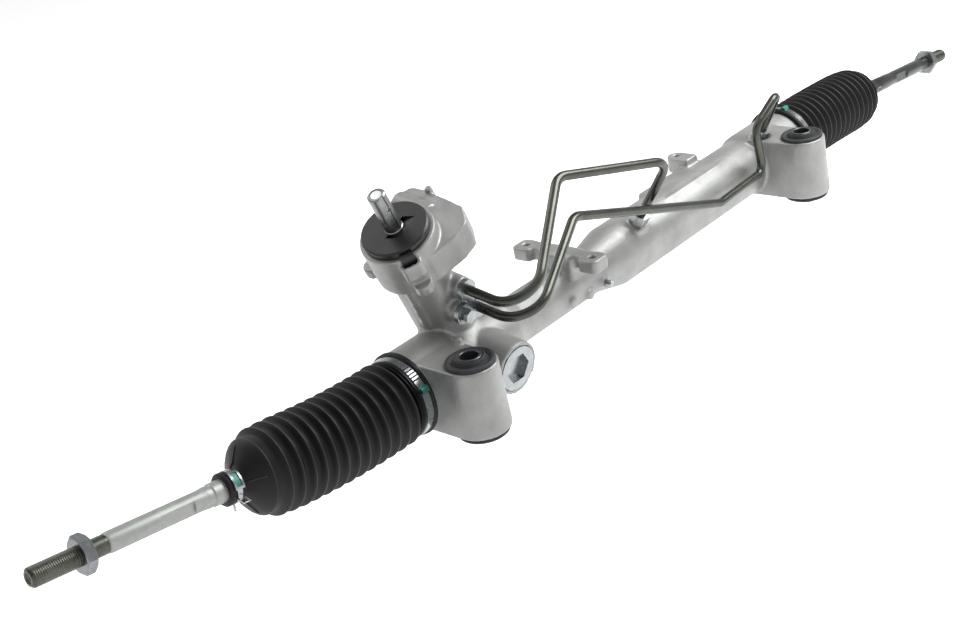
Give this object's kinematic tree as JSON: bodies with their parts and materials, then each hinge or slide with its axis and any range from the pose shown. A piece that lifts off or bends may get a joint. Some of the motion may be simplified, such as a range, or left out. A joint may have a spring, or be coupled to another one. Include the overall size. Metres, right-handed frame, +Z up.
{
  "type": "steering rack",
  "caption": "Hydraulic power steering rack with a rack and pinion in a cast housing, bellows boots, pressure pipes, rubber mounting bushes and threaded inner tie rods.",
  "frame": {"origin": "centre of the bore of the mounting bush at the pinion end", "axes": "+X along the rack from the pinion end to the cylinder end, +Z up along the mounting bolts, +Y from the bolts towards the rack"},
  "size_m": [1.2148, 0.1283, 0.2033],
  "materials": {
    "cast_aluminium": "cast, satin",
    "black_rubber": "moulded, satin",
    "bush_rubber": "moulded, matt",
    "bush_steel": "turned",
    "rack_steel": "ground and hardened",
    "forged_steel": "forged, pale coating",
    "dark_steel": "forged, phosphated",
    "zinc_plate": "zinc plated",
    "pipe_steel": "dark coated steel tube",
    "cover_plastic": "moulded black plastic",
    "bright_steel": "ground bright",
    "bearing_steel": "polished",
    "seal_rubber": "moulded",
    "liner_plastic": "natural acetal",
    "spring_steel": "oiled spring wire",
    "gland_aluminium": "machined",
    "ring_plastic": "filled PTFE"
  },
  "bodies": {
    "housing": {"rack_housing": "cast_aluminium", "left_mount_bush": "bush_rubber", "left_mount_sleeve": "bush_steel", "right_mount_bush": "bush_rubber", "right_mount_sleeve": "bush_steel", "valve_housing": "cast_aluminium", "dust_cover": "cover_plastic", "input_shaft_bearing": "bearing_steel", "input_shaft_seal": "seal_rubber", "seal_snap_ring": "spring_steel", "pinion_upper_bearing": "bearing_steel", "pinion_lower_bearing": "bearing_steel", "pinion_cap": "gland_aluminium", "guide_yoke": "gland_aluminium", "guide_yoke_ring": "seal_rubber", "guide_spring": "spring_steel", "guide_plug": "zinc_plate", "inner_rack_seal": "seal_rubber", "outer_rack_seal": "seal_rubber", "cylinder_gland": "gland_aluminium", "gland_snap_ring": "spring_steel", "left_boot": "black_rubber", "right_boot": "black_rubber", "left_boot_band": "zinc_plate", "right_boot_band": "zinc_plate", "cylinder_pipe_near": "pipe_steel", "cylinder_pipe_far": "pipe_steel", "pipe_flange": "zinc_plate", "flange_bolt": "zinc_plate", "union_nuts": "zinc_plate", "earth_stud": "zinc_plate"},
    "rack": {"rack_bar": "rack_steel", "piston": "rack_steel", "piston_ring": "ring_plastic", "left_ball_socket": "rack_steel", "right_ball_socket": "rack_steel"},
    "pinion": {"pinion": "rack_steel", "valve_sleeve": "bearing_steel", "valve_sleeve_rings": "ring_plastic", "torsion_bar": "spring_steel"},
    "input": {"input_shaft": "bright_steel", "input_shaft_plug": "bearing_steel", "torsion_bar_pin": "bearing_steel"},
    "left_liner": {"left_ball_seat": "liner_plastic"},
    "right_liner": {"right_ball_seat": "liner_plastic"},
    "left_rod": {"left_tie_rod": "forged_steel", "left_boot_clip": "zinc_plate"},
    "right_rod": {"right_tie_rod": "dark_steel", "right_boot_clip": "zinc_plate"},
    "left_nut": {"left_jam_nut": "zinc_plate"},
    "right_nut": {"right_jam_nut": "zinc_plate"}
  },
  "joints": [
    {"name": "rack_slide", "type": "slide", "parent": "housing", "child": "rack", "axis": [1, 0, 0], "range_m": [-0.07, 0.07], "deforming": ["left_boot", "right_boot"]},
    {"name": "pinion_turn", "type": "hinge", "parent": "housing", "child": "pinion", "pos_m": [0.056, 0.07277, 0.00281], "axis": [-0.3987, -0.1514, 0.9045], "range_deg": [-500, 500]},
    {"name": "input_twist", "type": "hinge", "parent": "pinion", "child": "input", "pos_m": [0.056, 0.07277, 0.00281], "axis": [-0.3987, -0.1514, 0.9045], "range_deg": [-4.5, 4.5], "stiffness_Nm_per_rad": 80},
    {"name": "left_ball_swing", "type": "hinge", "parent": "rack", "child": "left_liner", "pos_m": [-0.086, 0.056, 0], "axis": [0, 0, 1], "range_deg": [-17, 17]},
    {"name": "left_ball_tilt", "type": "hinge", "parent": "left_liner", "child": "left_rod", "pos_m": [-0.086, 0.056, 0], "axis": [0, 1, 0], "range_deg": [-26.3, 7.7]},
    {"name": "right_ball_swing", "type": "hinge", "parent": "rack", "child": "right_liner", "pos_m": [0.616, 0.056, 0], "axis": [0, 0, 1], "range_deg": [-17, 17]},
    {"name": "right_ball_tilt", "type": "hinge", "parent": "right_liner", "child": "right_rod", "pos_m": [0.616, 0.056, 0], "axis": [0, -1, 0], "range_deg": [-11.4, 22.6]},
    {"name": "left_nut_turn", "type": "hinge", "parent": "left_rod", "child": "left_nut", "pos_m": [-0.30311, 0.056, 0.03555], "axis": [-0.9869, 0, 0.1616], "continuous": true},
    {"name": "right_nut_turn", "type": "hinge", "parent": "right_rod", "child": "right_nut", "pos_m": [0.83495, 0.056, -0.02147], "axis": [0.9952, 0, -0.0976], "continuous": true}
  ],
  "couplings": [
    {"joint": "pinion_turn", "follows": "rack_slide", "rad_per_m": 123.63}
  ]
}
